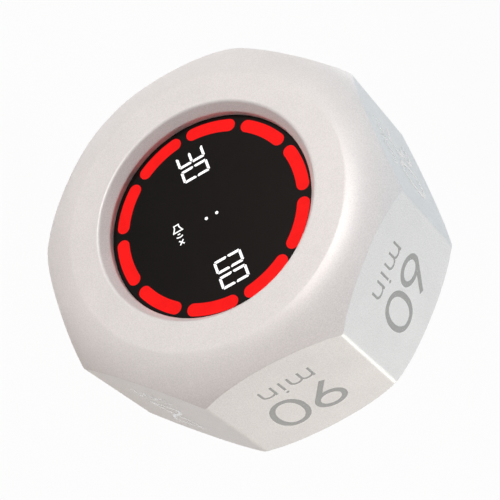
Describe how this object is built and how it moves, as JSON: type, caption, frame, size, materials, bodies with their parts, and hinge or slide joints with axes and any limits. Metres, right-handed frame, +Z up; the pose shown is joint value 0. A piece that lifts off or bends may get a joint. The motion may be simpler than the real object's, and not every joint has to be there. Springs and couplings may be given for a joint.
{
  "type": "flip timer",
  "caption": "Octagonal prism countdown timer with rounded ends, a printed time on each flat and a recessed round black display with a ring of red light bars.",
  "frame": {"origin": "on the resting surface, under the middle of the body: the centre of the bounding box's bottom face", "axes": "+Z up, out of the flat marked 30; -Y the way the display looks; +X to the right of someone who looks at the display"},
  "size_m": [0.07, 0.0376, 0.07],
  "materials": {
    "shell": "fine-grained satin, warm off-white",
    "cover": "fine-grained satin, warm off-white",
    "lens": "polished, tinted nearly black",
    "red_light": "lit red light guide",
    "reflector": "matt white",
    "black_frame": "matt black",
    "board": "green solder mask",
    "chip": "matt black moulding",
    "led": "milky",
    "bright_steel": "bright plated",
    "screw_steel": "dark plated",
    "cell": "silver foil pouch",
    "foam": "dark foam",
    "foot_rubber": "grey rubber",
    "lead_red": "red insulation",
    "lead_black": "black insulation",
    "ribbon": "amber film"
  },
  "bodies": {
    "root": {"housing": "shell", "rear_cover": "cover", "display_lens": "lens", "light_guide": "red_light", "ring_baffle": "reflector", "digit_reflector": "reflector", "lead_socket": "reflector", "display_spacer": "black_frame", "display_retainer": "black_frame", "display_board": "board", "main_board": "board", "led_driver": "chip", "display_socket": "chip", "board_socket": "chip", "controller_chip": "chip", "tilt_sensor": "chip", "charge_chip": "chip", "buzzer": "chip", "tact_switch": "chip", "usb_insert": "chip", "ring_led_0": "led", "ring_led_1": "led", "ring_led_2": "led", "ring_led_3": "led", "ring_led_4": "led", "ring_led_5": "led", "ring_led_6": "led", "ring_led_7": "led", "ring_led_8": "led", "ring_led_9": "led", "usb_shell": "bright_steel", "slide_switch": "bright_steel", "magnet_0": "bright_steel", "magnet_1": "bright_steel", "retainer_screw_0": "screw_steel", "retainer_screw_1": "screw_steel", "retainer_screw_2": "screw_steel", "retainer_screw_3": "screw_steel", "board_screw_0": "screw_steel", "board_screw_1": "screw_steel", "board_screw_2": "screw_steel", "cover_screw_0": "screw_steel", "cover_screw_1": "screw_steel", "cover_screw_2": "screw_steel", "cover_screw_3": "screw_steel", "battery_cell": "cell", "foam_pad": "foam", "lens_gasket": "foam", "foot_0": "foot_rubber", "foot_1": "foot_rubber", "foot_2": "foot_rubber", "foot_3": "foot_rubber", "red_lead": "lead_red", "black_lead": "lead_black", "ribbon": "ribbon"},
    "sound_button": {"sound_button": "cover", "tact_plunger": "led"},
    "power_slider": {"power_slider": "cover", "slide_lever": "black_frame"}
  },
  "joints": [
    {"name": "sound_button_press", "type": "slide", "parent": "root", "child": "sound_button", "axis": [0, -1, 0], "range_m": [0, 0.0005], "stiffness_N_per_m": 1000, "springref_m": -0.0005},
    {"name": "power_slider_travel", "type": "slide", "parent": "root", "child": "power_slider", "axis": [1, 0, 0], "range_m": [0, 0.002]}
  ]
}
